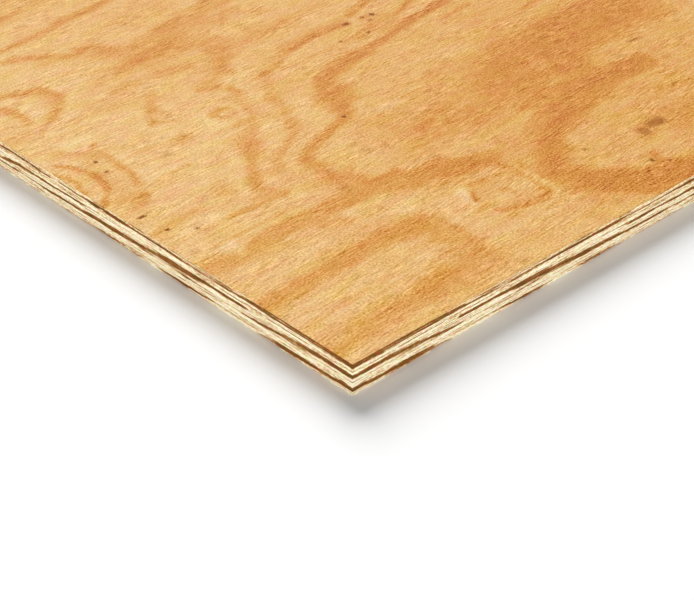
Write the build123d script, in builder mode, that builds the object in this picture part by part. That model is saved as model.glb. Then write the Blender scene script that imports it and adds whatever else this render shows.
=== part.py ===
from build123d import *

import os
from math import hypot

# Plywood sheet: five rotary-cut softwood veneers, each glued with its grain
# across the grain of the veneers next to it, pressed flat, and then trimmed
# square on all four sides by a saw that goes through the whole stack.
#
# Millimetres. X runs along the length, which is the grain of the face, Y runs
# across the width and Z points up out of the face. The origin is the middle of
# the underside.

# Sheet as trimmed
SHEET_LENGTH = 2440.0
SHEET_WIDTH = 1220.0

# Veneers after pressing and sanding. The two outer ones are the thinnest,
# because they lose wood to the sander.
BACK_VENEER = 2.7
LOWER_CROSSBAND = 4.3
CENTRE_PLY = 4.0
UPPER_CROSSBAND = 4.3
FACE_VENEER = 2.7

# Directions of the sheet, which are also the two ways its grain can run
LENGTHWISE = Vector(1, 0, 0)
CROSSWISE = Vector(0, 1, 0)
UPWARD = Vector(0, 0, 1)

# The lay-up from the underside upwards, each veneer with the way its grain runs
LAY_UP = [
    ("back_veneer", BACK_VENEER, LENGTHWISE),
    ("lower_crossband", LOWER_CROSSBAND, CROSSWISE),
    ("centre_ply", CENTRE_PLY, LENGTHWISE),
    ("upper_crossband", UPPER_CROSSBAND, CROSSWISE),
    ("face_veneer", FACE_VENEER, LENGTHWISE),
]

# Splinters that the saw tore out of the lower arris, on the two edges that meet
# at the corner at -X and -Y: how far the splinter's middle is from that corner,
# its run along the arris, its height up the edge, and its reach under the sheet.
# They are flakes off the edge more than off the underside, so each one is
# higher than it reaches.
END_TEAR_OUT = [
    (60.0, 22.0, 2.2, 0.9),
    (135.0, 24.0, 1.3, 0.6),
    (199.0, 24.0, 1.5, 0.7),
    (243.0, 12.0, 0.9, 0.4),
    (259.0, 8.0, 0.7, 0.3),
]
SIDE_TEAR_OUT = [
    (59.0, 18.0, 2.0, 0.8),
    (125.0, 22.0, 1.2, 0.5),
    (188.0, 20.0, 1.4, 0.6),
    (240.0, 26.0, 1.1, 0.5),
]

CORNER = -LENGTHWISE * SHEET_LENGTH / 2 - CROSSWISE * SHEET_WIDTH / 2


def cut_to_the_sheet(grain):
    """Size of a veneer along its own grain, and across it."""
    if grain == CROSSWISE:
        return SHEET_WIDTH, SHEET_LENGTH
    return SHEET_LENGTH, SHEET_WIDTH


def tear_out(splinters, arris, outward):
    """Scoop splinters out of the arris that leaves the corner along one edge.

    A ball dips into the arris, leaning so that it comes out at the splinter's
    height on the edge and at its reach on the underside.
    """
    for distance, run, height, reach in splinters:
        depth = height * reach / hypot(height, reach)
        ball = ((run / 2) ** 2 + depth**2) / (2 * depth)
        lean = (outward * height - UPWARD * reach).normalized()
        with Locations(CORNER + arris * distance + lean * (ball - depth)):
            Sphere(ball, mode=Mode.SUBTRACT)


os.makedirs("parts", exist_ok=True)

glue_line = 0.0
for name, thickness, grain in LAY_UP:
    along_grain, across_grain = cut_to_the_sheet(grain)
    with BuildPart() as veneer:
        with BuildSketch(Plane(UPWARD * glue_line, x_dir=grain, z_dir=UPWARD)):
            Rectangle(along_grain, across_grain)
        extrude(amount=thickness)
        tear_out(END_TEAR_OUT, arris=CROSSWISE, outward=-LENGTHWISE)
        tear_out(SIDE_TEAR_OUT, arris=LENGTHWISE, outward=-CROSSWISE)
    veneer.part.label = name
    export_step(veneer.part, f"parts/{name}.step")
    glue_line += thickness
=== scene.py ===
import math

import bpy
import numpy as np
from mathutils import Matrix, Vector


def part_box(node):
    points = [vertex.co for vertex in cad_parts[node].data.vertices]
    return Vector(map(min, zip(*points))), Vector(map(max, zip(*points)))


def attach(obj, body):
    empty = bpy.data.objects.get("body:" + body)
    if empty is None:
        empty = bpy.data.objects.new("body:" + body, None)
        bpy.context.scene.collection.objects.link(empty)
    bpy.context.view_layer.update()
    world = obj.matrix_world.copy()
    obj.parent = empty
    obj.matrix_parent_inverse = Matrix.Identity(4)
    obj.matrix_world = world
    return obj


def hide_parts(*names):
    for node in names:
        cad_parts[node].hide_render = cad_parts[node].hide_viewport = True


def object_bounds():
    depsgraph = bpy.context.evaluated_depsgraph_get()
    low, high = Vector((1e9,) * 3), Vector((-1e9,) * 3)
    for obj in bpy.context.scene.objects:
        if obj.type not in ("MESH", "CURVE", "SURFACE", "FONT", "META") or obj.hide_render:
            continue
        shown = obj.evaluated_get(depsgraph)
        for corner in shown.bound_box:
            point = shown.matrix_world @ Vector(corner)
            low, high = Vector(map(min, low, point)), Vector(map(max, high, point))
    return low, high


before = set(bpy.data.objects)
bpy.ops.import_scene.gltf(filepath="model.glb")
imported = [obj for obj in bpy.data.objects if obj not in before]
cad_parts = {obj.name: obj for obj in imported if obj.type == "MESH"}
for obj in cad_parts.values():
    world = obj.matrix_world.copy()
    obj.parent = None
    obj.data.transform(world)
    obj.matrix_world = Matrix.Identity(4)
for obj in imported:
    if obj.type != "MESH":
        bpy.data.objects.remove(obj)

cad_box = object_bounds()
SHEET_LOW, SHEET_HIGH = (np.array(corner) for corner in cad_box)
MM = 0.001
SAME = 1e-6  # metres: two places closer than this are one place
FLAT = 0.7  # upward part of a normal, past which a surface is a veneer's flat side
CREASE = math.radians(35)  # edges sharper than this stay sharp


# Back veneer: the sheet's underside, rotary-cut pine or fir, 2.7 mm thick after
# sanding, grain along the length. It is laid first. The saw leaves it on the
# underside of the cut and tears splinters out of its arris.

COLUMN = 2.7 * MM  # longest step of the net along a sawn edge
CORNER_COLUMN = 3.0 * MM  # the first step from each corner, longer than all the rings together
ROW = 0.4 * MM  # step of the net up a sawn edge
RINGS = 5  # steps of the net on the underside, next to the arris
RING = 0.5 * MM

# How far the wood of a sawn edge lies inside the plane of the cut, in mm
FUZZ = 0.03  # everywhere
LOOSE_FIBRE = 0.05  # more at single fibres, at most
PULL_OUT = 0.06  # more where soft earlywood came out, at most
GLUE_GROOVE = 0.12  # more at a glue line
LOWER_ARRIS, UPPER_ARRIS = 0.08, 0.10  # more at the two arrises
NICK = 0.32  # depth of the deepest nick in the lower arris
NICK_RISE = 1.2  # a nick is this much higher than it is deep
SANDED_OFF = 0.05  # height that the sander takes off the upper arris

# Splinters torn out of the lower arris: distance of the middle from the corner
# at -X and -Y, run along the arris, height up the edge, reach under the sheet
END_TEAR_OUT = [(60, 22, 2.2, 0.9), (135, 24, 1.3, 0.6), (199, 24, 1.5, 0.7), (243, 12, 0.9, 0.4),
                (259, 8, 0.7, 0.3)]
SIDE_TEAR_OUT = [(59, 18, 2.0, 0.8), (125, 22, 1.2, 0.5), (188, 20, 1.4, 0.6), (240, 26, 1.1, 0.5)]

# Latewood streaks along the sawn edges, each as points of its path along the end:
# distance from the same corner, depth under the face, thickness, all in mm, and darkness
END_STREAKS = [
    [(0, 1.4, 2.7, 0.9), (14, 1.4, 2.6, 0.8), (24, 1.3, 2.2, 0.5), (45, 1.3, 2.2, 0.45),
     (62, 1.4, 2.3, 0.6), (72, 1.7, 1.9, 0.85), (82, 2.2, 1.3, 0.75), (100, 2.6, 0.9, 0.85),
     (108, 2.7, 0.8, 0.45), (120, 2.7, 0.9, 0.75), (146, 2.4, 1.1, 0.85), (170, 2.3, 1.6, 1.0),
     (205, 2.4, 1.6, 1.0), (216, 2.6, 0.8, 0.55), (234, 2.6, 0.7, 0.75), (238, 2.7, 0.5, 0.1),
     (246, 2.8, 0.7, 0.75), (262, 2.5, 1.1, 0.85), (280, 2.4, 1.3, 0.95), (295, 2.5, 1.1, 0.7)],
    [(0, 0.6, 0.9, 1.0), (20, 0.5, 0.7, 0.9), (60, 0.6, 0.9, 0.95), (74, 1.0, 1.0, 0.8),
     (84, 1.6, 0.8, 0.3)],
    [(0, 2.2, 1.1, 1.1), (16, 2.2, 1.0, 1.0), (34, 2.3, 0.7, 0.7), (52, 2.4, 0.8, 0.8),
     (72, 2.3, 0.8, 0.5)],
    [(0, 4.6, 0.5, 0.3), (60, 4.7, 0.6, 0.4), (80, 4.9, 0.6, 0.35), (112, 4.4, 0.6, 0.3),
     (120, 4.4, 0.5, 0.0)],
    [(48, 6.6, 0.5, 0.0), (55, 6.7, 0.5, 0.3), (72, 6.9, 0.5, 0.35), (76, 7.0, 0.5, 0.0)],
    [(145, 5.5, 0.5, 0.0), (155, 5.5, 0.6, 0.35), (185, 5.6, 0.6, 0.3), (200, 6.2, 0.7, 0.25),
     (214, 6.9, 0.6, 0.2)],
    [(212, 4.2, 0.4, 0.3), (240, 4.0, 0.4, 0.4), (290, 3.9, 0.4, 0.3)],
    [(214, 5.1, 0.4, 0.25), (250, 5.0, 0.4, 0.4), (290, 4.9, 0.4, 0.25)],
    [(150, 10.9, 0.6, 0.3), (160, 11.6, 0.7, 0.5), (166, 12.0, 0.6, 0.1)],
    [(0, 10.4, 0.5, 0.3), (20, 10.4, 0.6, 0.3), (50, 10.4, 0.4, 0.1)],
    [(74, 1.2, 2.4, 0.0), (90, 1.2, 2.4, 0.22), (290, 1.2, 2.4, 0.22)],
    [(0, 7.6, 2.0, 0.8), (22, 7.5, 2.0, 0.85), (32, 8.1, 1.8, 0.75), (42, 8.7, 1.9, 0.75),
     (52, 9.4, 1.8, 0.8), (62, 10.4, 1.4, 0.85), (70, 11.0, 1.0, 0.85), (79, 11.45, 0.7, 0.8),
     (81, 11.5, 0.6, 0.1), (100, 11.6, 0.7, 0.35), (120, 11.6, 0.7, 0.4), (124, 11.5, 1.0, 0.75),
     (128, 11.6, 0.6, 0.25), (150, 11.8, 0.6, 0.15)],
    [(74, 7.1, 0.8, 0.0), (77, 7.1, 1.2, 0.75), (90, 7.3, 1.5, 0.85), (104, 7.3, 1.4, 0.85),
     (118, 7.8, 2.1, 0.8), (130, 8.1, 2.6, 0.75), (142, 8.6, 2.7, 0.75), (156, 9.6, 2.2, 0.75),
     (166, 9.9, 2.2, 0.85), (178, 10.5, 2.5, 0.8), (192, 10.8, 2.4, 0.8), (206, 11.2, 2.3, 0.75),
     (215, 11.9, 1.4, 0.75), (234, 12.4, 1.3, 0.95), (252, 12.6, 1.0, 0.75), (256, 12.7, 0.8, 0.3),
     (274, 12.9, 0.8, 0.35), (280, 12.9, 1.2, 0.65), (295, 13.2, 1.0, 0.5)],
    [(202, 7.0, 0.8, 0.0), (210, 7.1, 0.8, 0.35), (218, 7.5, 1.1, 0.8), (228, 7.6, 1.2, 0.95),
     (240, 7.9, 1.1, 0.6), (262, 8.0, 1.4, 0.75), (276, 8.1, 1.6, 0.75), (286, 9.4, 2.0, 0.7),
     (295, 10.3, 1.8, 0.65)],
    [(0, 15.1, 1.8, 0.8), (7, 14.7, 2.2, 0.85), (12, 15.3, 1.8, 0.75), (30, 15.9, 2.1, 0.8),
     (50, 16.1, 2.2, 0.8), (58, 16.2, 1.8, 0.5), (64, 16.2, 1.2, 0.1), (100, 16.0, 0.6, 0.25),
     (112, 16.2, 0.9, 0.6), (124, 16.6, 1.4, 0.9), (140, 16.9, 1.4, 0.75), (152, 16.5, 0.7, 0.35),
     (172, 16.6, 0.7, 0.35), (184, 16.8, 0.9, 0.75), (198, 17.2, 1.6, 0.6), (210, 17.4, 1.0, 0.3),
     (295, 16.6, 0.6, 0.15)],
]
END_STREAKS_END = 295.0  # where the listed streaks stop
FADE_OUT = 12.0  # a listed streak fades out over this distance
SIDE_SHRINK = 0.93  # the same streaks lie this much closer together along the side
FAR_DEPTHS = (2.7, 7.0, 11.0, 15.3, 8.6, 13.4)  # depths of the streaks that aren't placed by hand
FAR_SEED, WAVER_SEED = 40, 50  # of the random draws, plus the number of the edge


def srgb(colour):
    """Linear colour of an sRGB hex value."""
    parts = [int(colour[i : i + 2], 16) / 255 for i in (1, 3, 5)]
    return [p / 12.92 if p <= 0.04045 else ((p + 0.055) / 1.055) ** 2.4 for p in parts] + [1.0]


def add(tree, kind, links=(), out=0, stops=(), **settings):
    """Add a node with its settings and its inputs, and give back one of its outputs."""
    made = tree.nodes.new("ShaderNode" + kind)
    for name, value in settings.items():
        setattr(made, name, value)
    for name, value in dict(links).items():
        if isinstance(value, bpy.types.NodeSocket):
            tree.links.new(value, made.inputs[name])
        else:
            made.inputs[name].default_value = value
    if stops:
        made.color_ramp.elements.remove(made.color_ramp.elements[1])
        for stop, (place, colour) in enumerate(stops):
            element = made.color_ramp.elements[0] if stop == 0 else made.color_ramp.elements.new(place)
            element.position = place
            element.color = colour
    return made.outputs[out]


def blank_material(name):
    """A material without nodes, and its node tree."""
    made = bpy.data.materials.new(name)
    made.use_nodes = True
    made.node_tree.nodes.clear()
    return made, made.node_tree


def scaled(tree, value, by, plus=0.0):
    return add(tree, "Math", {0: value, 1: by, 2: plus}, operation="MULTIPLY_ADD")


def total(tree, first, *others):
    for other in others:
        first = add(tree, "Math", {0: first, 1: other}, operation="ADD")
    return first


def stretch(tree, value, low, high, bottom=0.0, top=1.0):
    """Clamped: bottom where the value is low or less, top where it is high or more."""
    return add(tree, "MapRange", {0: value, 1: low, 2: high, 3: bottom, 4: top})


def product(tree, first, second):
    return add(tree, "Math", {0: first, 1: second}, operation="MULTIPLY")


def blend(tree, share, below, above, kind="MIX"):
    """One colour laid over another, as strongly as the share says."""
    return add(tree, "Mix", {0: share, 6: below, 7: above}, out=2, data_type="RGBA", blend_type=kind)


def shade(tree, colour, tint, light):
    """Lighten or darken a colour by so much of a tint."""
    change = add(tree, "VectorMath", {0: tint, "Scale": light}, operation="SCALE")
    return add(tree, "VectorMath", {0: colour, 1: change}, operation="ADD")


def show(tree, shader):
    tree.links.new(shader, tree.nodes.new("ShaderNodeOutputMaterial").inputs["Surface"])


def show_wood(tree, colour, roughness, relief, strength, depth):
    """End a wood's nodes: its colour, its relief, and hardly any gloss."""
    bump = add(tree, "Bump", {"Strength": strength, "Distance": depth, "Height": relief})
    show(tree, add(tree, "BsdfPrincipled", {"Base Color": colour, "Roughness": roughness,
                                            "Normal": bump, "Specular IOR Level": 0.06}))


def grey(value):
    return [value, value, value, 1.0]


GRAIN_TILT = math.radians(4)  # the fibres cross the sheet's length at this angle
RAMP_SPAN, RAMP_ZERO = 2.2, 0.2  # the ramp holds depths of colour from -0.44 to 1.76
PALEST = "#F5DEBC"  # single fibres of earlywood
BARK = "#C8A71E"  # what a speck multiplies the wood by, twice over
FIBRE_TINT = (1.0, 0.73, 0.40)  # light and dark fibres change blue least, so they stay warm


def sanded_veneer(name, seed, colours, specks=(), drawn=False):
    """Rotary-cut softwood, sanded: growth rings cut nearly flat, so they wander over the face.

    The eye gets broad soft bands of orange latewood in pale earlywood, thousands of
    short dark fibre marks along the grain, and next to no gloss.
    """
    made, tree = blank_material(name)
    place = add(tree, "TexCoord", out=3)

    def grained(length, width, detail, roughness, shift=0.0, bend=None):
        """Noise with its marks this long and this wide, in mm, along the grain."""
        turned = add(tree, "Mapping", {"Vector": bend or place, "Rotation": (0, 0, GRAIN_TILT),
                                       "Location": (shift, 0.3 * shift, seed),
                                       "Scale": (length * MM, width * MM, 1.0)}, vector_type="TEXTURE")
        return add(tree, "TexNoise", {"Vector": turned, "Scale": 1.0, "Detail": detail,
                                      "Roughness": roughness})

    # Growth rings: the log is nearly parallel to the knife, so one ring lasts for decimetres.
    # Each deepens slowly from earlywood to latewood, and ends at a sharper border.
    log = scaled(tree, grained(1100, 330, 1.0, 0.4), 15.0)
    waves = scaled(tree, grained(170, 55, 2.0, 0.5, 3.0), 1.5)
    ripples = scaled(tree, grained(38, 9, 3.0, 0.6, 5.0), 0.40)
    ring = add(tree, "Math", {0: total(tree, log, waves, ripples)}, operation="FRACT")
    latewood = add(tree, "ValToRGB", {"Fac": ring}, stops=[
        (0.0, grey(0.80)), (0.05, grey(0.30)), (0.16, grey(0.10)), (0.52, grey(0.16)),
        (0.76, grey(0.42)), (0.90, grey(0.82)), (1.0, grey(0.84))])
    broad = scaled(tree, grained(900, 260, 2.0, 0.5, 9.0), 1.5, -0.62)
    figure = total(tree, latewood, broad)
    if drawn:
        by_hand = add(tree, "Attribute", out=2, attribute_name="figure")
        share = add(tree, "Attribute", out=2, attribute_name="drawn")
        figure = add(tree, "Mix", {0: share, 2: figure, 3: by_hand}, data_type="FLOAT")

    # The fibres swing a little to each side, and more where the figure changes
    swing = total(tree, scaled(tree, grained(42, 26, 1.0, 0.4, 7.0), 9 * MM),
                  scaled(tree, figure, 1.2 * MM))
    swung = add(tree, "VectorMath", {0: place, 1: add(tree, "CombineXYZ", {1: swing})}, operation="ADD")

    # Fibre: streaks that shade the figure, dark marks in clusters, short pits and soft clouds
    streak = grained(60, 2.6, 3.0, 0.6, 11.0, swung)
    mark = grained(10, 1.3, 3.0, 0.65, 13.0, swung)
    cluster = stretch(tree, grained(34, 14, 1.0, 0.5, 29.0), 0.35, 0.65, 0.5, 1.6)
    marks = product(tree, scaled(tree, mark, 1.0, -0.5), cluster)
    pit = grained(1.4, 0.9, 0.0, 0.5, 17.0, swung)
    cloud = grained(22, 8, 4.0, 0.62, 19.0, swung)
    ragged = total(tree, figure, scaled(tree, streak, 0.70, -0.35), scaled(tree, cloud, 0.8, -0.4),
                   scaled(tree, marks, -0.25))
    colour = add(tree, "ValToRGB", {"Fac": scaled(tree, ragged, 1 / RAMP_SPAN, RAMP_ZERO)}, stops=[
        (0.0, srgb(PALEST)), (0.091, srgb(colours[0])), (0.244, srgb(colours[1])),
        (0.418, srgb(colours[2])), (0.564, srgb(colours[3])), (0.695, srgb(colours[4])),
        (0.973, srgb(colours[5]))])

    # Patches of pinker and of yellower wood, then the fibres lighten and darken what is there
    pink = stretch(tree, grained(24, 10, 3.0, 0.6, 23.0), 0.48, 0.70)
    colour = blend(tree, pink, colour, srgb("#FFF1F7"), "MULTIPLY")
    honey = stretch(tree, grained(30, 12, 3.0, 0.6, 37.0), 0.42, 0.66)
    colour = blend(tree, honey, colour, srgb("#FCFFDE"), "MULTIPLY")
    light = total(tree, scaled(tree, marks, 0.70), scaled(tree, pit, 0.55, -0.275))
    colour = shade(tree, colour, FIBRE_TINT, light)

    # Pin knots and bark specks: ovals along the grain with ragged rims
    for x, y, long, wide, dark in specks:
        centre = (SHEET_LOW[0] + x * MM, SHEET_LOW[1] + y * MM, 0.0)
        offset = add(tree, "VectorMath", {0: place, 1: centre}, operation="SUBTRACT")
        flat = add(tree, "VectorMath", {0: offset, 1: (1 / (long * MM), 1 / (wide * MM), 0.0)},
                   operation="MULTIPLY")
        reach = add(tree, "VectorMath", {0: flat}, out=1, operation="LENGTH")
        spot = stretch(tree, total(tree, reach, scaled(tree, pit, 0.9, -0.45)), 1.25, 0.55, 0.0, dark)
        for _ in range(2):
            colour = blend(tree, spot, colour, srgb(BARK), "MULTIPLY")

    relief = total(tree, scaled(tree, marks, 0.9), scaled(tree, pit, 0.5))
    show_wood(tree, colour, 0.7, relief, 0.3, 0.12 * MM)
    return made


SAWN_TINT = (1.0, 0.88, 0.62)  # the same for the paler fibres of a sawn edge
GLUE_REACH, GLUE_CORE = 0.24 * MM, 0.06 * MM  # half widths of a glue line, with and without its rim


def sawn_edge(name, seed, glue_lines):
    """Edge of a veneer as the saw leaves it: cream earlywood, brown latewood and dark glue.

    The blade leaves the fibres rough, so there is no gloss, and thin streaks run
    along the edge where it cuts the rings at a low angle. The broad streaks and the
    torn places come with the mesh.
    """
    made, tree = blank_material(name)
    x, y, height = (add(tree, "SeparateXYZ", {0: add(tree, "TexCoord", out=3)}, out=axis)
                    for axis in range(3))
    along = total(tree, x, y)

    def rough(length, tall, detail, shift):
        """Noise with its marks this long and this tall, in mm, along the edge."""
        place = add(tree, "CombineXYZ", {0: scaled(tree, along, 1 / (length * MM), seed + shift),
                                         1: scaled(tree, height, 1 / (tall * MM), shift)})
        return add(tree, "TexNoise", {"Vector": place, "Scale": 1.0, "Detail": detail})

    # Latewood, frayed by the blade: hairlines beside it, blots and single fibres in it
    band = add(tree, "Attribute", out=2, attribute_name="latewood")
    torn = add(tree, "Attribute", out=2, attribute_name="torn")
    thread = rough(30, 0.55, 2.0, 3.0)
    blot = rough(2.4, 0.9, 3.0, 7.0)
    fibre = rough(1.0, 0.6, 1.0, 11.0)
    hairline = stretch(tree, thread, 0.46, 0.68, 0.0, 0.72)
    amount = total(tree, band, hairline, scaled(tree, blot, 1.1, -0.58),
                   scaled(tree, fibre, 0.40, -0.20))
    colour = add(tree, "ValToRGB", {"Fac": amount}, stops=[
        (0.0, srgb("#FFFAE0")), (0.18, srgb("#FDF0CC")), (0.36, srgb("#E0BF8A")),
        (0.62, srgb("#A67038")), (1.0, srgb("#684216"))])

    # Pinker and greener patches, stronger in the latewood, then light and dark fibres
    pink = stretch(tree, rough(5, 1.3, 3.0, 17.0), 0.48, 0.66)
    colour = blend(tree, pink, colour, srgb("#FFE0E4"), "MULTIPLY")
    green = stretch(tree, rough(4, 1.1, 3.0, 31.0), 0.48, 0.66)
    colour = blend(tree, green, colour, srgb("#EBF2C4"), "MULTIPLY")
    dark = stretch(tree, amount, 0.30, 0.80)
    for patches, stain in ((pink, "#A9502F"), (green, "#665A20")):
        colour = blend(tree, product(tree, scaled(tree, dark, 0.6), patches), colour, srgb(stain))
    light = total(tree, scaled(tree, fibre, 0.70, -0.33), scaled(tree, thread, 0.24, -0.12))
    light = product(tree, light, scaled(tree, dark, -0.75, 1.0))
    colour = shade(tree, colour, SAWN_TINT, light)

    # Brown where a splinter was torn out, and the dark glue, which comes and goes
    torn_brown = product(tree, stretch(tree, blot, 0.30, 0.62, 0.35, 0.95), torn)
    colour = blend(tree, torn_brown, colour, srgb("#A9763F"))
    for line in glue_lines:
        gap = add(tree, "Math", {0: scaled(tree, height, 1.0, -line)}, operation="ABSOLUTE")
        near = stretch(tree, gap, GLUE_REACH, GLUE_CORE, 0.0, 0.5)
        patchy = stretch(tree, rough(40, 3.0, 2.0, 23.0), 0.40, 0.60)
        colour = blend(tree, product(tree, near, patchy), colour, srgb("#6B4A2C"))
    relief = total(tree, scaled(tree, fibre, 0.6), scaled(tree, thread, 0.7), scaled(tree, blot, 0.4))
    show_wood(tree, colour, 0.85, relief, 0.6, 0.2 * MM)
    return made


def keep(piece, **layers):
    """Keep values of the points with the mesh, for its materials."""
    for name, values in layers.items():
        piece.data.attributes.new(name, "FLOAT", "POINT").data.foreach_set("value", values)


def pick(piece, kind, chosen):
    """Select the faces or edges that are chosen, and stay in edit mode."""
    bpy.ops.object.mode_set(mode="EDIT")
    bpy.ops.mesh.select_mode(type=kind)
    bpy.ops.mesh.select_all(action="DESELECT")
    bpy.ops.object.mode_set(mode="OBJECT")
    (piece.data.polygons if kind == "FACE" else piece.data.edges).foreach_set("select", chosen)
    bpy.ops.object.mode_set(mode="EDIT")


def read(items, name, width=1, kind=float):
    """One property of all vertices, edges, loops or faces."""
    values = np.empty(len(items) * width, kind)
    items.foreach_get(name, values)
    return values.reshape(-1, width) if width > 1 else values


def cut_columns(piece):
    """Halve the outline's edges until each is a column of the net."""
    while True:
        ends = read(piece.data.vertices, "co", 3)[read(piece.data.edges, "vertices", 2, int)]
        on_outline = np.zeros(len(ends), bool)
        for side in (SHEET_LOW, SHEET_HIGH):
            on_outline |= (np.abs(ends[:, :, :2] - side[:2]) < SAME).all(axis=1).any(axis=1)
        length = np.hypot(*(ends[:, 0, :2] - ends[:, 1, :2]).T)
        long = on_outline & (length > COLUMN) & (np.abs(length - CORNER_COLUMN) > 10 * SAME)
        if not long.any():
            return
        pick(piece, "EDGE", long)
        bpy.ops.mesh.subdivide(number_cuts=1)
        bpy.ops.object.mode_set(mode="OBJECT")


def raise_rows(thickness):
    """Extrude what is selected through a veneer's thickness, one row of the net at a time."""
    rows = round(abs(thickness) / ROW)
    for _ in range(rows):
        bpy.ops.mesh.extrude_region_move(TRANSFORM_OT_translate={"value": (0, 0, thickness / rows)})


def grid(name, lines_x, lines_y, level):
    """A grid with its lines at these places."""
    bpy.ops.object.select_all(action="DESELECT")
    bpy.ops.mesh.primitive_grid_add(x_subdivisions=len(lines_x) - 1, y_subdivisions=len(lines_y) - 1,
                                    size=1, location=(0, 0, 0))
    made = bpy.context.object
    made.name = name
    places = read(made.data.vertices, "co", 3)
    for axis, lines in enumerate((lines_x, lines_y)):
        line = np.round((places[:, axis] + 0.5) * (len(lines) - 1)).astype(int)
        places[:, axis] = np.array(lines)[line]
    places[:, 2] = level
    made.data.vertices.foreach_set("co", places.ravel())
    made.data.update()
    return made


def wandering(rng, start, end, depth):
    """One more streak for an edge that isn't placed by hand. It strays and comes back."""
    streak, at, drift = [(start, depth, 0.8, 0.0)], start, 0.0
    while at < end:
        at += rng.uniform(9, 30)
        drift = 0.82 * drift + rng.uniform(-0.7, 0.7)
        thickness = rng.uniform(0.6, 2.5)
        darkness = max(0.0, rng.uniform(-0.15, 1.0))
        streak.append((at, depth + drift, thickness, darkness))
    return streak


def edge_streaks(side, length):
    """All streaks of one sawn edge: listed next to the corner, wandering beyond it."""
    rng = np.random.default_rng(FAR_SEED + side)
    near, stop = [], 0.0
    if side < 2:
        shrink = (1.0, SIDE_SHRINK)[side]
        near = [[(at * shrink, *rest) for at, *rest in streak] for streak in END_STREAKS]
        stop = END_STREAKS_END * shrink
    near = [[*streak, (streak[-1][0] + FADE_OUT, *streak[-1][1:3], 0.0)] for streak in near]
    return near + [wandering(rng, stop, length, depth) for depth in FAR_DEPTHS]


def tear(places, torn, splinters, along, outward):
    """Scoop splinters out of the lower arris, each with a ball that leans into it."""
    up = np.array((0.0, 0.0, 1.0))
    for distance, run, height, reach in np.array(splinters) * MM:
        depth = height * reach / math.hypot(height, reach)
        ball = ((run / 2) ** 2 + depth**2) / (2 * depth)
        lean = (outward * height - up * reach) / math.hypot(height, reach)
        offset = places - (SHEET_LOW + along * distance + lean * (ball - depth))
        inside = (offset**2).sum(axis=1) < ball**2
        ahead = offset[inside] @ lean
        places[inside] -= np.outer(
            ahead + np.sqrt(ahead**2 - (offset[inside] ** 2).sum(axis=1) + ball**2), lean)
        torn[inside] = 1.0


def saw(piece, low, high, seed):
    """Shape the sawn edges: fibre pull-out, shallow glue lines, nicked arrises and tear-out."""
    rng = np.random.default_rng(seed)
    places = read(piece.data.vertices, "co", 3)
    count = len(places)
    latewood, torn = np.zeros(count), np.zeros(count)
    rough = rng.uniform(0, 1, count)
    depth = (SHEET_HIGH[2] - places[:, 2]) / MM
    from_glue = np.minimum(places[:, 2] - low[2], high[2] - places[:, 2])
    on_lower = np.abs(places[:, 2] - SHEET_LOW[2]) < SAME
    on_upper = np.abs(places[:, 2] - SHEET_HIGH[2]) < SAME
    on_glue = (from_glue < SAME) & ~(on_lower | on_upper)
    moved = places.copy()

    def wander(chance, step, least, most):
        """Values that wander along the edge, with a new one at every step, in mm."""
        knots = np.arange(0, length + 2 * step, step)
        return np.interp(distance, knots, chance.uniform(least, most, len(knots)))

    for side, (across, end) in enumerate(((0, 0), (1, 0), (0, 1), (1, 1))):
        plane = (SHEET_LOW, SHEET_HIGH)[end][across]
        on_edge = np.abs(places[:, across] - plane) < SAME
        distance = (places[on_edge, 1 - across] - SHEET_LOW[1 - across]) / MM
        length = (SHEET_HIGH - SHEET_LOW)[1 - across] / MM
        ring = np.random.default_rng(WAVER_SEED + side)

        # Latewood: a streak is full out to 0.6 of its half thickness and gone at 1.6 of it
        here = depth[on_edge] + wander(ring, 7, -0.14, 0.14) + wander(ring, 2.4, -0.10, 0.10)
        amount = np.zeros(on_edge.sum())
        for streak in edge_streaks(side, length):
            at, centre, thick, dark = np.array(streak).T
            half = np.interp(distance, at, thick) / 2 * wander(ring, 5, 0.78, 1.2)
            off = np.abs(here + wander(ring, 3.5, -0.08, 0.08) - np.interp(distance, at, centre)) / half
            fill = np.interp(distance, at, dark, left=0.0, right=0.0) * wander(ring, 4, 0.8, 1.25)
            amount = np.maximum(amount, fill * np.clip(1.65 - 1.05 * off, 0, 1))
        latewood[on_edge] = np.maximum(latewood[on_edge], amount)

        # Relief: hard latewood lies least far inside the cut, and glue furthest
        pulled = wander(rng, 6, 0.0, PULL_OUT) * (1 - amount)
        inward = FUZZ + LOOSE_FIBRE * rough[on_edge] + pulled + GLUE_GROOVE * on_glue[on_edge]
        nick = np.maximum(0, wander(rng, 6, -0.45, NICK))
        inward += on_lower[on_edge] * (LOWER_ARRIS + nick) + on_upper[on_edge] * UPPER_ARRIS
        rise = on_lower[on_edge] * nick * NICK_RISE - on_upper[on_edge] * SANDED_OFF
        moved[on_edge, across] += inward * MM * (1 if end == 0 else -1)
        moved[on_edge, 2] += MM * rise
    tear(moved, torn, END_TEAR_OUT, np.array((0, 1, 0)), np.array((-1, 0, 0)))
    tear(moved, torn, SIDE_TEAR_OUT, np.array((1, 0, 0)), np.array((0, -1, 0)))
    piece.data.vertices.foreach_set("co", moved.ravel())
    keep(piece, latewood=latewood, torn=torn)
    piece.data.update()


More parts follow.
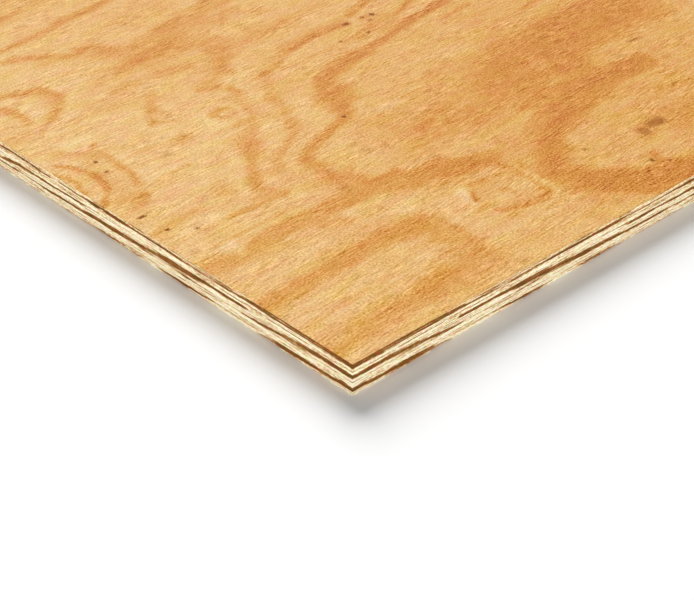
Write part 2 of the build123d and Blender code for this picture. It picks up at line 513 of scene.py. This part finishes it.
def finish_ply(piece, node, faces, edge_seed, glue_lines):
    """Give a veneer its two finishes and put it in its CAD node's place."""
    piece.data.materials.append(faces)
    piece.data.materials.append(sawn_edge("sawn_" + node, edge_seed, glue_lines))
    corners = read(piece.data.loops, "vertex_index", 1, int)
    torn = read(piece.data.attributes["torn"].data, "value")[corners]
    torn = np.maximum.reduceat(torn, read(piece.data.polygons, "loop_start", 1, int)) > 0
    pick(piece, "FACE", torn | (np.abs(read(piece.data.polygons, "normal", 3)[:, 2]) < FLAT))
    piece.active_material_index = 1
    bpy.ops.object.material_slot_assign()
    bpy.ops.object.mode_set(mode="OBJECT")
    bpy.ops.object.shade_smooth_by_angle(angle=CREASE)
    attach(piece, "root")
    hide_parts(node)


def plain_ply(node):
    """A veneer with sawn edges: its outline, filled and raised through its thickness."""
    low, high = (np.array(corner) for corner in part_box(node))
    piece = grid(node + "_wood", *([low[axis], low[axis] + CORNER_COLUMN, high[axis] - CORNER_COLUMN,
                                    high[axis]] for axis in (0, 1)), low[2])
    pick(piece, "FACE", np.ones(len(piece.data.polygons), bool))
    bpy.ops.mesh.dissolve_faces()
    bpy.ops.mesh.delete(type="ONLY_FACE")
    bpy.ops.object.mode_set(mode="OBJECT")
    cut_columns(piece)
    pick(piece, "EDGE", np.ones(len(piece.data.edges), bool))
    bpy.ops.mesh.edge_face_add()
    bpy.ops.mesh.select_mode(type="FACE")
    bpy.ops.mesh.select_all(action="SELECT")
    raise_rows(high[2] - low[2])
    bpy.ops.mesh.select_all(action="SELECT")
    bpy.ops.mesh.normals_make_consistent(inside=False)
    bpy.ops.object.mode_set(mode="OBJECT")
    return piece, low, high


back_faces = sanded_veneer("sanded_back_veneer", 31.0,
                           ("#EFC98F", "#E5B97F", "#DCA567", "#D09250", "#BE7C3B", "#A05A26"))
piece, low, high = plain_ply("back_veneer")
pick(piece, "FACE", read(piece.data.polygons, "normal", 3)[:, 2] < -FLAT)
for _ in range(RINGS):
    bpy.ops.mesh.inset(thickness=RING)
bpy.ops.object.mode_set(mode="OBJECT")
saw(piece, low, high, 31)
finish_ply(piece, "back_veneer", back_faces, 1.7, [high[2]])


# Lower crossband: thicker, coarser veneer with its grain across the sheet, glued
# to the back veneer. On the sides of the sheet the saw cuts its end grain.

def inner_ply(node, saw_seed, edge_seed):
    """A veneer inside the sheet, with glue on both of its faces."""
    piece, low, high = plain_ply(node)
    saw(piece, low, high, saw_seed)
    finish_ply(piece, node, back_faces, edge_seed, [low[2], high[2]])


inner_ply("lower_crossband", 32, 5.1)


# Centre ply: grain along the length again. Its latewood shows as the broad brown
# streaks that slant across the middle of the sawn edges.

inner_ply("centre_ply", 33, 8.3)


# Upper crossband: like the lower one, and glued to the centre ply. Its pale wood is
# the first broad band under the face.

inner_ply("upper_crossband", 34, 12.9)


# Face veneer: the best veneer of the sheet, rotary-cut, sanded and laid last, with
# its grain along the length. Beside the corner its figure is drawn, as
# rings, lobes and eyes that the knife opened, and it fades into rings of its own.

FINE = 1.6 * MM  # step of the net where the figure has thin lines
MEDIUM = 2.5 * MM  # and where it is broad
COARSE = 80 * MM  # and beyond the drawn figure, where only the outline needs a net
THIN_LINES = (190 * MM, 350 * MM)  # reach of the thin lines from the corner, along X and Y
DRAWN = (460 * MM, 470 * MM)  # reach of the drawn figure
FADE = 50 * MM  # over which it fades into rings of its own

# The net blurs strokes that are both narrow and crisp, so they are laid wider and stronger
NARROW, CRISP = 6, 2.5
WIDER, DEEPER, PALER = 1.2, 0.10, 0.20
DEEP, HELD_BACK = 0.8, 0.2  # the others, past this depth, give up this share of the rest
GRAIN_SLOPE = 0.07  # slope of the fibres over the sheet

# Brush strokes over the face, in mm from the corner, in the order they are laid:
# depth of colour, from 0 for earlywood to 1 for latewood, and a little past them for
# the palest and the deepest; width; fade at its rim; path
STROKES = [
    # Broad soft latewood to the right of the middle
    (0.26, 20, 8, [(95, 118), (98, 160)]),
    (0.10, 16, 6, [(130, 130), (135, 158)]),
    (0.32, 16, 8, [(158, 120), (160, 160)]),
    (0.45, 16, 8, [(170, 122), (172, 160)]),
    (0.74, 24, 7, [(186, 132), (215, 132), (260, 132)]),
    (0.62, 22, 7, [(190, 150), (260, 150)]),
    (0.45, 18, 8, [(215, 170), (262, 172)]),
    (0.42, 9, 4, [(228, 146), (236, 145)]),
    (0.82, 40, 7, [(272, 150), (300, 155)]),
    (0.90, 44, 6, [(290, 160), (330, 150)]),
    (1.02, 46, 5, [(330, 168), (360, 168), (400, 171), (490, 170)]),
    (0.90, 12, 5, [(300, 183), (330, 186)]),
    (0.88, 30, 5, [(286, 134), (322, 132)]),
    (0.55, 7, 3, [(300, 142), (302, 158)]),
    (0.62, 8, 4, [(322, 153), (334, 156)]),
    (0.58, 9, 3, [(290, 129), (298, 129)]),
    (0.20, 3, 2, [(289, 128), (291, 129)]),
    (0.55, 8, 4, [(243, 186), (258, 187)]),
    (1.05, 10, 3, [(345, 189), (400, 191)]),
    (1.05, 5, 2, [(318, 157), (334, 157)]),
    (1.0, 12, 4, [(304, 140), (322, 148)]),
    (1.0, 4, 2, [(284, 254), (306, 255), (330, 259)]),
    (0.78, 3, 1.5, [(308, 241), (322, 242), (336, 245)]),
    (0.75, 4, 2, [(358, 215), (380, 218)]),
    (0.98, 5, 2, [(186, 142), (198, 144)]),
    (0.92, 3, 1.5, [(204, 147), (210, 148)]),
    (0.92, 2.5, 1.2, [(195, 135), (205, 136)]),
    (0.95, 3, 1.5, [(266, 160), (285, 164), (298, 168)]),
    (-0.05, 5, 3, [(188, 172), (205, 174), (225, 178)]),
    (0.55, 1.6, 0.8, [(205, 176), (232, 177)]),
    (0.50, 1.6, 0.8, [(190, 168), (204, 169)]),
    # Lobe that opens to the right, round the knot
    (0.40, 10, 5, [(197, 26), (197, 40)]),
    (0.62, 7, 3, [(201, 18), (199, 28), (197, 58)]),
    (0.50, 14, 5, [(196, 92), (222, 90)]),
    (0.27, 30, 8, [(232, 56), (262, 62), (290, 72)]),
    (0.36, 40, 10, [(318, 86), (400, 86)]),
    (0.45, 14, 6, [(322, 76), (345, 76)]),
    (0.64, 16, 4, [(306, 53), (335, 53)]),
    (0.75, 10, 5, [(298, 42), (330, 42)]),
    (0.55, 9, 3, [(276, 49), (279, 54)]),
    (0.75, 9, 3, [(286, 53), (298, 54)]),
    (0.85, 8, 3, [(244, 83), (262, 88), (280, 93), (300, 99)]),
    (0.85, 7, 3, [(250, 119), (288, 121)]),
    (1.00, 4, 2, [(288, 121), (322, 122)]),
    (0.90, 7, 3, [(234, 99), (248, 103)]),
    (0.98, 20, 2.5, [(258, 102), (280, 108), (310, 109)]),
    (1.08, 18, 1.5, [(306, 110), (330, 110), (354, 110)]),
    (1.00, 4, 2, [(334, 120), (358, 118)]),
    (1.06, 15, 2.5, [(268, 97), (250, 92), (238, 87), (228, 80)]),
    (1.00, 16, 3, [(226, 77), (217, 72), (211, 62)]),
    (1.00, 16, 2.5, [(206, 60), (205, 48)]),
    (0.96, 18, 3, [(208, 46), (213, 36), (215, 28)]),
    (0.95, 8, 3, [(212, 24), (216, 15), (226, 6), (240, -2)]),
    (1.15, 9, 3, [(241, 16), (258, 19)]),
    (1.12, 24, 3, [(216, 31), (228, 21), (240, 14), (256, 9), (275, 4), (300, -6)]),
    (0.85, 5, 2, [(257, 22), (261, 30)]),
    # Pale tongue inside the latewood
    (0.30, 6, 2, [(327, 126), (334, 128)]),
    (0.28, 18, 2, [(337, 130), (360, 131), (400, 133), (490, 130)]),
    (0.34, 26, 3, [(374, 110), (430, 112)]),
    # Lobe in the corner
    (0.46, 8, 3, [(-5, 21.5), (20, 23), (46, 23.5), (62, 22)]),
    (0.61, 11, 2, [(-10, 13), (0, 14.5), (20, 15.5), (45, 15.5), (66, 16.5)]),
    (0.72, 2.4, 1.2, [(18, 20), (40, 20.5), (60, 20.5)]),
    (0.50, 8, 4, [(85, 17), (110, 22)]),
    (0.44, 16, 7, [(94, 8), (116, 14)]),
    (0.78, 7, 3, [(74, 99), (84, 98)]),
    (0.30, 12, 6, [(82, 84), (102, 82)]),
    (0.66, 6, 3, [(86, 31), (106, 35)]),
    (0.55, 6, 3, [(-5, 55), (4, 56)]),
    (0.84, 15, 3, [(72, 18.5), (80, 20.5), (92, 23.5), (105, 27), (114, 29)]),
    (0.22, 12, 6, [(98, 32), (99, 58)]),
    (0.54, 18, 4, [(110, 34), (113, 45), (113, 55), (110, 64)]),
    (0.66, 3, 1.5, [(120, 38), (122, 50), (121, 62)]),
    (0.66, 13, 2.5, [(-10, 59), (0, 61), (14, 63), (28, 64)]),
    (0.72, 11, 2.5, [(24, 65), (45, 66), (60, 67)]),
    (0.82, 14, 2.5, [(60, 69), (80, 69), (98, 68)]),
    (0.84, 15, 3, [(96, 68), (108, 67), (114, 66)]),
    (0.36, 5, 3, [(55, 78), (100, 79)]),
    (0.0, 12, 6, [(104, 92), (126, 90)]),
    (0.62, 6, 2, [(126, 65), (133, 67)]),
    # Band above it, into the eye
    (0.58, 16, 3, [(-10, 108), (0, 108), (8, 108)]),
    (0.58, 7, 2, [(8, 106), (17, 104)]),
    (-0.10, 3, 1.5, [(23, 108), (26, 112)]),
    (0.50, 6, 3, [(16, 102), (44, 101)]),
    (0.58, 8, 2, [(31, 107), (40, 108)]),
    (0.70, 12, 2, [(40, 110), (60, 110), (80, 110), (100, 110)]),
    (0.62, 2.2, 1, [(33, 112), (45, 114.5), (60, 115.5), (80, 115), (98, 115.5)]),
    (0.84, 13, 2.5, [(100, 111), (120, 111), (140, 109)]),
    (1.00, 2.5, 1.2, [(100, 116), (125, 116.5), (143, 116)]),
    (0.80, 16, 3, [(128, 104), (142, 101), (150, 99)]),
    (0.60, 14, 5, [(142, 92), (158, 88)]),
    (1.02, 13, 3, [(145, 103), (158, 102), (166, 99)]),
    (0.70, 2.2, 1, [(150, 109), (160, 109.5), (168, 109)]),
    (0.72, 6, 2.5, [(137, 84), (150, 91)]),
    (1.15, 16, 2, [(162, 97), (170, 95), (180, 92), (187, 90)]),
    (0.90, 4, 1.5, [(187, 86), (188, 76), (187.5, 66)]),
    (0.50, 8, 4, [(196, 88), (197, 70)]),
    (0.90, 3, 1.5, [(194, 70), (197, 74)]),
    # Eye
    (0.08, 18, 6, [(133, 68), (136, 80)]),
    (0.40, 12, 3, [(157, 67), (168, 70), (182, 73)]),
    (0.55, 8, 2.5, [(158, 74), (168, 73)]),
    (0.80, 2.2, 1, [(154, 75), (160, 77), (168, 76)]),
    (0.05, 9, 3, [(160, 56), (166, 56)]),
    (0.10, 11, 3, [(175, 57), (184, 58)]),
    (0.60, 2.4, 1.2, [(167, 60), (171, 60), (171, 55)]),
    (0.20, 5, 2.5, [(162, 48), (178, 49)]),
    (0.44, 7, 3.5, [(162, 47), (172, 47.5), (183, 48)]),
    (0.46, 2, 1, [(157, 46), (166, 44), (178, 43.5)]),
    (0.94, 2.6, 1.1, [(151, 48), (156, 44.5), (162, 41.5), (170, 40), (180, 39.5)]),
    (0.95, 4.5, 1.8, [(179, 40.5), (184, 42), (186, 47)]),
    (0.75, 3, 1.5, [(186.5, 45), (189, 52), (190, 60)]),
    (0.74, 2.2, 1.1, [(147.5, 56), (151.5, 57)]),
    (-0.42, 7, 2.5, [(149, 72.5), (151.5, 75.5)]),
    (-0.12, 4, 2, [(147, 62), (147, 66)]),
    (1.20, 2.6, 1, [(150, 62.5), (151.5, 66), (154, 70)]),
    (0.0, 2.8, 1.6, [(191.5, 44), (192, 58)]),
    # Ring that climbs from the band and leaves to the right
    (0.84, 18, 4, [(115, 118), (117, 124), (116, 130)]),
    (0.40, 8, 4, [(103, 120), (105, 138)]),
    (0.76, 10, 3, [(110, 130), (112, 143), (113, 156)]),
    (0.30, 5, 2, [(118, 134), (119, 142)]),
    (0.62, 5, 2.5, [(98, 164), (102, 170), (107, 174)]),
    (0.85, 8, 4, [(110, 119), (118, 123)]),
    (1.00, 6.5, 1.8, [(113, 159), (120, 163.5), (130, 168.5), (142, 173), (155, 178), (165, 182)]),
    (1.02, 13, 2.5, [(168, 187), (172, 193), (176, 200)]),
    (0.88, 16, 4, [(168, 207), (180, 207), (187, 209)]),
    (0.60, 8, 3, [(161, 206), (168, 208)]),
    (1.02, 13, 2.5, [(179, 214), (184, 221), (190, 227)]),
    (1.05, 6, 2, [(178, 197), (185, 197)]),
    (0.80, 8, 3, [(202, 237), (228, 241)]),
    (1.06, 10, 2.5, [(188, 227), (200, 230.5), (215, 234), (234, 238)]),
    (1.10, 7, 1.8, [(233, 239), (250, 241.5), (262, 245), (275, 248.5)]),
    (1.12, 6.5, 1.5, [(275, 249), (290, 252), (305, 255), (320, 259), (345, 264), (420, 282)]),
    # Thin rings inside it
    (-0.10, 8, 4, [(114, 196), (126, 203)]),
    (-0.12, 12, 5, [(150, 200), (156, 212)]),
    (0.66, 3.5, 1.3, [(42, 139.5), (62, 139), (80, 138.5)]),
    (0.62, 4, 2, [(79, 138), (82, 140)]),
    (0.70, 7, 2.5, [(74, 146), (73, 154), (79, 161)]),
    (0.62, 5.5, 2, [(79, 163), (83, 171), (89, 177), (96, 184)]),
    (0.50, 8, 3, [(65, 143), (76, 143)]),
    (0.56, 8, 4, [(56, 161), (60, 166)]),
    (0.72, 13, 3, [(97, 188), (101.5, 195)]),
    (0.46, 6.5, 2.6, [(106, 201), (114, 206), (121, 213), (127, 223), (131, 234), (136, 245), (138, 252)]),
    (0.54, 4, 1.8, [(106, 174), (113, 177), (121, 181.5), (130, 188)]),
    (0.70, 8, 3, [(132, 191), (136, 197)]),
    (0.46, 7, 2.8, [(137, 200), (142, 209), (146, 217), (148, 225)]),
    (0.56, 5, 2, [(148, 225), (151, 232), (155, 238)]),
    (0.48, 3.5, 1.5, [(152, 234), (157, 241), (164, 247)]),
    (0.46, 8, 4, [(152, 243), (163, 248)]),
    (0.44, 9, 4, [(170, 263), (184, 269), (198, 275)]),
    (0.56, 4.5, 1.5, [(160, 256), (172, 259), (181, 263), (190, 267), (198, 271)]),
    (0.62, 9, 3, [(196, 276), (210, 279.5), (228, 281), (256, 281)]),
    (0.82, 5, 1.5, [(196, 270.5), (207, 274.5), (222, 277), (240, 277.5), (256, 277.5)]),
    (0.62, 8, 3, [(245, 255), (258, 258)]),
    (-0.20, 7, 2.5, [(261, 275), (264, 283)]),
    (0.95, 6, 2, [(267, 276), (277, 275)]),
    (0.95, 4, 1.8, [(284, 265), (298, 269), (314, 277), (330, 284)]),
    (0.98, 6, 2, [(264, 285), (272, 289), (284, 293), (310, 300), (350, 308)]),
    (0.50, 2.2, 1, [(180, 254), (220, 256), (256, 262), (285, 265)]),
    (0.52, 13, 4, [(266, 266), (280, 270)]),
    (0.50, 8, 3, [(262, 256), (280, 258)]),
    # Rings that the end of the sheet cuts off
    (0.22, 12, 6, [(18, 208), (22, 236)]),
    (0.76, 3.2, 1.1, [(-2, 190), (3, 196), (9, 202), (13, 208)]),
    (0.92, 4.0, 1.2, [(13, 207), (15, 216), (15.5, 226)]),
    (0.70, 3.0, 1.1, [(15.5, 226), (14, 236), (10, 243), (5, 250)]),
    (0.56, 2.8, 1.1, [(-1, 209), (2.5, 217), (4, 226), (3, 234), (-1, 241)]),
    (-0.10, 3, 1.5, [(2, 258), (5, 250)]),
    (0.50, 6, 3, [(14, 258), (26, 250)]),
    (-0.05, 3.5, 1.5, [(14, 246), (18, 236)]),
    (0.50, 6, 3, [(12, 180), (19, 184)]),
    (0.0, 6, 3, [(6, 190), (12, 190)]),
    (-0.25, 8, 2.5, [(22, 264), (40, 261)]),
    (0.60, 4.2, 1.5, [(30, 247), (33.5, 240), (34, 229), (32.5, 217), (31.5, 208), (28, 199)]),
    (0.45, 8, 3, [(27, 241), (33, 245)]),
    (0.70, 2, 1, [(33, 251), (38, 254)]),
    (-0.30, 6, 2, [(22, 257), (31, 254)]),
    (0.25, 10, 5, [(12, 188), (14, 196)]),
    (0.68, 9, 2.5, [(17, 184), (23, 190)]),
    (0.42, 4, 2, [(-5, 151), (12, 153), (24, 155.5), (36, 157)]),
    (-0.05, 4, 1.5, [(0, 125), (12, 125)]),
    (0.34, 1.8, 0.9, [(18, 122), (45, 122), (76, 124)]),
    (0.34, 2.4, 1, [(20, 281), (27, 289), (34, 294)]),
    (0.45, 5, 2.5, [(46, 284), (60, 288)]),
    (-0.25, 7, 2.5, [(33, 143), (39, 144)]),
    (-0.20, 5, 2, [(20, 116), (25, 118)]),
    (-0.20, 6, 2, [(83, 132), (86, 131)]),
    # Small eye and hooks
    (0.52, 7, 3, [(100, 284), (92, 273), (86, 266)]),
    (0.66, 6, 2, [(86, 265), (81, 259), (77.5, 252)]),
    (0.46, 8, 3, [(84, 259), (88, 257)]),
    (0.55, 2.6, 1.2, [(76, 250), (82, 249), (88, 244.5)]),
    (-0.34, 11, 3, [(103, 227), (104, 241)]),
    (0.44, 8, 3, [(113, 229), (115, 237)]),
    (0.60, 3.5, 1.5, [(109, 236), (113, 239), (119, 238.5)]),
    (0.52, 3.5, 1.5, [(111, 232), (115, 228.5)]),
    (-0.20, 1.6, 0.8, [(115, 231.5), (115, 233)]),
    (0.46, 4, 2, [(111, 216), (117, 217)]),
    (0.34, 2.2, 1.2, [(117, 220), (121, 227), (123, 238)]),
    (0.0, 2.2, 1, [(121, 222), (125, 230), (126, 240)]),
    (0.56, 8, 3, [(76, 225), (81, 226)]),
    (0.46, 2.4, 1, [(50, 198), (61, 199)]),
    (-0.20, 6, 2.5, [(47, 203), (56, 204)]),
    (0.90, 6, 2, [(124, 266), (131, 264)]),
    (0.66, 8, 2.5, [(132, 264), (137, 260)]),
    (0.74, 4.5, 1.5, [(139, 258), (139.5, 250)]),
    (0.62, 7, 3, [(132, 271), (142, 274), (152, 279)]),
    (-0.10, 8, 3, [(147, 263), (148, 271)]),
    # Loops above them
    (0.74, 8, 2, [(24, 343), (32, 339), (42, 336), (54, 332)]),
    (0.40, 10, 4, [(50, 326), (50, 310)]),
    (0.84, 8, 2, [(53, 332), (56.5, 323), (57, 314)]),
    (0.72, 8, 2, [(57, 314), (54, 306), (46, 301), (37, 297)]),
    (-0.20, 6, 2.5, [(44, 294), (52, 300), (60, 310)]),
    (0.90, 7, 1.8, [(16, 330), (22, 326), (26, 319)]),
    (0.60, 5, 2, [(25, 318), (26, 309), (24, 301)]),
    (-0.18, 7, 1.8, [(32, 332), (34, 322), (34, 312), (34, 302)]),
    (0.12, 12, 5, [(4, 286), (16, 292)]),
    (0.30, 14, 5, [(68, 288), (88, 290)]),
    # Soft patches at the top
    (0.45, 12, 5, [(142, 287), (154, 296)]),
    (0.80, 10, 3, [(150, 277), (157, 287), (163, 296), (170, 304)]),
    (0.75, 10, 4, [(168, 293), (176, 304)]),
    (0.88, 8, 3, [(164, 303), (174, 307), (182, 309)]),
    (0.36, 14, 5, [(184, 306), (240, 308), (300, 318)]),
    (0.64, 2.2, 1, [(200, 303), (214, 304), (230, 308)]),
    (0.58, 6, 3, [(178, 297), (208, 298)]),
    (0.50, 8, 4, [(217, 343), (226, 333)]),
    (0.80, 9, 3, [(118, 302), (128, 300), (140, 298)]),
    (0.46, 7, 3, [(84, 300), (98, 302)]),
    (0.46, 6, 3, [(100, 300), (114, 301)]),
    (0.42, 7, 3.5, [(86, 318), (97, 317)]),
    (0.42, 6, 3, [(120, 314), (162, 316)]),
    (0.60, 6, 3, [(136, 320), (148, 320)]),
    (0.70, 15, 6, [(160, 322), (168, 316)]),
    (0.50, 4, 2, [(84, 298), (100, 299)]),
    (0.70, 12, 3.5, [(104, 320), (118, 324), (134, 328), (150, 330)]),
    (0.82, 14, 4, [(126, 330), (140, 333), (160, 338)]),
    (0.10, 7, 3, [(112, 336), (120, 337)]),
    (0.62, 8, 3, [(195, 336), (211, 347)]),
    (0.60, 5, 2.5, [(182, 364), (222, 366)]),
    (0.60, 12, 4, [(122, 342), (150, 343), (168, 344), (190, 346)]),
    (0.56, 7, 3, [(140, 350), (160, 352), (190, 354)]),
    (0.86, 8, 3, [(160, 354), (170, 356), (178, 357)]),
    (0.58, 8, 3, [(182, 356), (200, 357), (214, 358), (260, 366)]),
    (0.62, 4, 2, [(203, 366), (212, 370), (230, 377)]),
    (0.50, 2, 1, [(160, 330), (186, 331)]),
    (0.26, 14, 6, [(150, 378), (170, 380)]),
    (0.54, 3, 1.5, [(60, 378), (70, 382)]),
    (0.66, 5, 2, [(58, 379), (68, 376), (78, 372)]),
    (0.80, 7, 2, [(76, 372), (84, 369), (90, 363)]),
    (0.70, 5, 2, [(90, 361), (99, 358), (106, 361)]),
    (0.82, 8, 2.5, [(104, 363), (111, 362), (116, 356), (118, 348)]),
    (0.66, 6, 3, [(118, 350), (117, 344), (108, 341)]),
    (0.56, 7, 3, [(104, 349), (112, 351)]),
    (0.40, 7, 3.5, [(76, 363), (85, 362)]),
    # Two thin rings at the top
    (0.36, 6, 3, [(90, 397), (118, 402)]),
    (0.80, 4.4, 1.5, [(40, 391), (60, 394.5), (72, 395.5), (84, 397)]),
    (0.66, 3.6, 1.5, [(84, 397), (94, 400), (106, 403), (118, 407)]),
    (0.92, 7, 2, [(116, 407), (130, 408), (146, 411), (160, 415), (230, 429)]),
    (0.46, 6, 3, [(146, 378), (162, 377)]),
    (0.40, 9, 5, [(170, 396), (184, 392)]),
    (0.84, 6, 2, [(70, 430), (90, 436), (102, 440), (114, 442), (130, 445), (190, 454)]),
]

# Pin knots, bark specks and the brown knot: place, half length, half width, darkness
SPECKS = [
    (8.5, 170.8, 3.0, 1.2, 1.0), (10.5, 151.5, 1.5, 1.5, 1.0), (23, 142, 1.6, 1.6, 0.5),
    (25.6, 236, 1.5, 1.5, 0.95), (23.6, 223, 1.4, 1.4, 0.8), (164, 182, 1.7, 1.4, 0.85),
    (254, 277, 3.0, 1.9, 0.8), (277, 276.5, 2.0, 2.5, 0.8), (269, 277.6, 1.7, 1.6, 0.6),
    (270, 271, 2.0, 1.5, 0.6), (256, 257.6, 2.2, 1.2, 0.8), (233, 259.4, 2.0, 1.0, 0.65),
    (254, 26.4, 1.8, 1.8, 0.75), (371, 134, 6.0, 1.3, 0.45), (236, 60, 1.7, 1.4, 0.5),
    (278, 51, 4.5, 5.0, 0.40), (292, 53.5, 8.0, 5.0, 0.46), (261, 20, 1.4, 1.2, 0.6),
]


def smooth_step(low, high, value):
    """0 below low, 1 above high, and a smooth rise between them."""
    share = np.clip((value - low) / (high - low), 0, 1)
    return share * share * (3 - 2 * share)


def distance_to(path, x, y):
    """Distance of every point from a path, after its corners are cut twice."""
    path = np.array(path, float)
    for _ in range(2):
        inner = [0.75 * path[:-1] + 0.25 * path[1:], 0.25 * path[:-1] + 0.75 * path[1:]]
        path = np.vstack([path[:1], np.stack(inner, 1).reshape(-1, 2), path[-1:]])
    nearest = np.full(len(x), np.inf)
    for (ax, ay), (bx, by) in zip(path[:-1], path[1:]):
        length = max((bx - ax) ** 2 + (by - ay) ** 2, 1e-9)
        share = np.clip(((x - ax) * (bx - ax) + (y - ay) * (by - ay)) / length, 0, 1)
        nearest = np.minimum(nearest, np.hypot(x - ax - share * (bx - ax), y - ay - share * (by - ay)))
    return nearest


def drawn_figure(x, y):
    """Depth of colour of the face at points given in mm from the corner.

    The bare wood deepens to the right and is palest beside the end of the sheet. Each
    stroke covers what is under it. Last, the right and the top are made deeper.
    """
    deeper = smooth_step(110, 160, x) + smooth_step(270, 320, x)
    figure = 0.02 + 0.15 * deeper * (1 - 0.8 * smooth_step(235, 270, y))
    figure -= 0.07 * smooth_step(112, 130, y) * (1 - smooth_step(80, 125, x))
    for level, width, fade, path in STROKES:
        if width < NARROW and fade < CRISP:
            width *= WIDER
            if level > 0.3:
                level += DEEPER
            elif level < 0:
                level -= PALER
        else:
            level -= HELD_BACK * max(0.0, level - DEEP)
        soft = (1.3 + 0.05 * width) * fade
        cover = 1 - smooth_step(width / 2 - soft, width / 2 + soft, distance_to(path, x, y))
        figure += cover * (level - figure)
    # Darker towards the right and the top
    deeper_right_and_top = smooth_step(190, 215, x) + smooth_step(290, 320, y) * smooth_step(60, 90, x)
    return 0.10 + 0.81 * figure + 0.09 * np.minimum(deeper_right_and_top, 1)


def weave(x, y, length, width, seed):
    """Soft noise from -1 to 1, stretched along the grain: random values, joined smoothly."""
    columns, rows = 64, 256
    lattice = np.random.default_rng(seed).uniform(-1, 1, (columns, rows))
    x, y = x / length + 7, (y - GRAIN_SLOPE * x) / width + 40
    column, row = np.floor(x).astype(int), np.floor(y).astype(int)
    u, v = smooth_step(0, 1, x - column), smooth_step(0, 1, y - row)
    corner = [[lattice[(column + i) % columns, (row + j) % rows] for i in (0, 1)] for j in (0, 1)]
    low_row, high_row = ((1 - u) * pair[0] + u * pair[1] for pair in corner)
    return (1 - v) * low_row + v * high_row


def graded(thin, drawn, low, high):
    """Places of the net's lines: fine near the corner, coarse beyond the drawn figure."""
    places = [low]
    for stop, step in ((low + thin, FINE), (low + drawn, MEDIUM), (high, COARSE)):
        places.extend(np.linspace(places[-1], stop, round((stop - places[-1]) / step) + 1)[1:])
    return places


low, high = (np.array(corner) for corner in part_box("face_veneer"))
lines_x, lines_y = (graded(*extent) for extent in zip(THIN_LINES, DRAWN, low[:2], high[:2]))
piece = grid("face_veneer_wood", lines_x, lines_y, high[2])
cut_columns(piece)
pick(piece, "FACE", np.ones(len(piece.data.polygons), bool))
bpy.ops.mesh.extrude_region_move(TRANSFORM_OT_translate={"value": (0, 0, -ROW / 4)})
bpy.ops.mesh.dissolve_faces()
raise_rows(low[2] - high[2] + ROW / 4)
bpy.ops.mesh.select_all(action="SELECT")
bpy.ops.mesh.normals_make_consistent(inside=False)
bpy.ops.object.mode_set(mode="OBJECT")

# The points of the face are pushed aside by up to 2 mm along the grain and 1 mm across it
# before the strokes are laid, so that the rims fray along the fibres
x, y = (read(piece.data.vertices, "co", 3)[:, :2] - low[:2]).T / MM
near = (x < DRAWN[0] / MM + 1) & (y < DRAWN[1] / MM + 1)
figure, share = np.zeros(len(x)), np.zeros(len(x))
bent_x = x[near] + 1.2 * weave(x[near], y[near], 16, 3.6, 1) + 0.8 * weave(x[near], y[near], 9, 9, 2)
bent_y = y[near] + 0.3 * weave(x[near], y[near], 22, 4.0, 3) + 0.5 * weave(x[near], y[near], 9, 9, 4)
figure[near] = drawn_figure(bent_x, bent_y)
share[near] = (1 - smooth_step((DRAWN[0] - FADE) / MM, DRAWN[0] / MM, x[near])) * (
    1 - smooth_step((DRAWN[1] - FADE) / MM, DRAWN[1] / MM, y[near]))
keep(piece, figure=figure, drawn=share)
saw(piece, low, high, 35)
face_faces = sanded_veneer("sanded_face_veneer", 2.0,
                           ("#EDC892", "#E5B778", "#DDA45B", "#D69343", "#CD8434", "#AE5F24"),
                           SPECKS, drawn=True)
finish_ply(piece, "face_veneer", face_faces, 15.2, [low[2]])


# Floor, light and camera. The camera is the one that was fitted to the photo's corner
# and to the two edges that meet there.

FLOOR_SIZE = 60  # metres, so that its far edge is out of the picture
bpy.ops.object.select_all(action="DESELECT")
bpy.ops.mesh.primitive_plane_add(size=FLOOR_SIZE, location=(0, 0, 0))
floor = bpy.context.object
floor.name = "floor"

# White paint: matt, and the camera alone sees it glow a little
white, tree = blank_material("white_floor")
matt = add(tree, "BsdfDiffuse", {"Color": srgb("#FCFCFC")})
glow = add(tree, "Emission", {"Color": (1, 1, 1, 1), "Strength": 0.03})
glowing = add(tree, "AddShader", {0: matt, 1: glow})
seen = add(tree, "MixShader", {0: add(tree, "LightPath"), 1: matt, 2: glowing})
show(tree, seen)
floor.data.materials.append(white)

world = bpy.data.worlds.new("studio")
bpy.context.scene.world = world
world.use_nodes = True
world.node_tree.nodes["Background"].inputs["Color"].default_value = (1, 1, 1, 1)
world.node_tree.nodes["Background"].inputs["Strength"].default_value = 0.20


def lamp(name, level, heading, height, spread):
    """A far, wide lamp: what it adds to a flat white floor, and its place in the sky in degrees."""
    bpy.ops.object.light_add(type="SUN", rotation=(math.radians(90 - height), 0, math.radians(-heading)))
    made = bpy.context.object
    made.name = name
    made.data.angle = math.radians(spread)
    made.data.energy = level * math.pi / math.sin(math.radians(height))


lamp("sky_behind", 0.70, 213, 33, 38)
lamp("wall_in_front", 0.125, 43, 9, 18)

CORNER_TO_CAMERA = (-400.28 * MM, -425.59 * MM, 446.59 * MM)
YAW, PITCH = math.radians(43.0), math.radians(33.935)  # heading off +Y towards +X, and tilt down
camera_data = bpy.data.cameras.new("camera")
camera_data.lens = 82.22
camera_data.sensor_width = 36
camera = bpy.data.objects.new("camera", camera_data)
camera.location = [a + b for a, b in zip(SHEET_LOW, CORNER_TO_CAMERA)]
camera.rotation_euler = (math.pi / 2 - PITCH, 0, -YAW)
bpy.context.scene.collection.objects.link(camera)
bpy.context.scene.camera = camera
bpy.context.scene.view_settings.view_transform = "Standard"
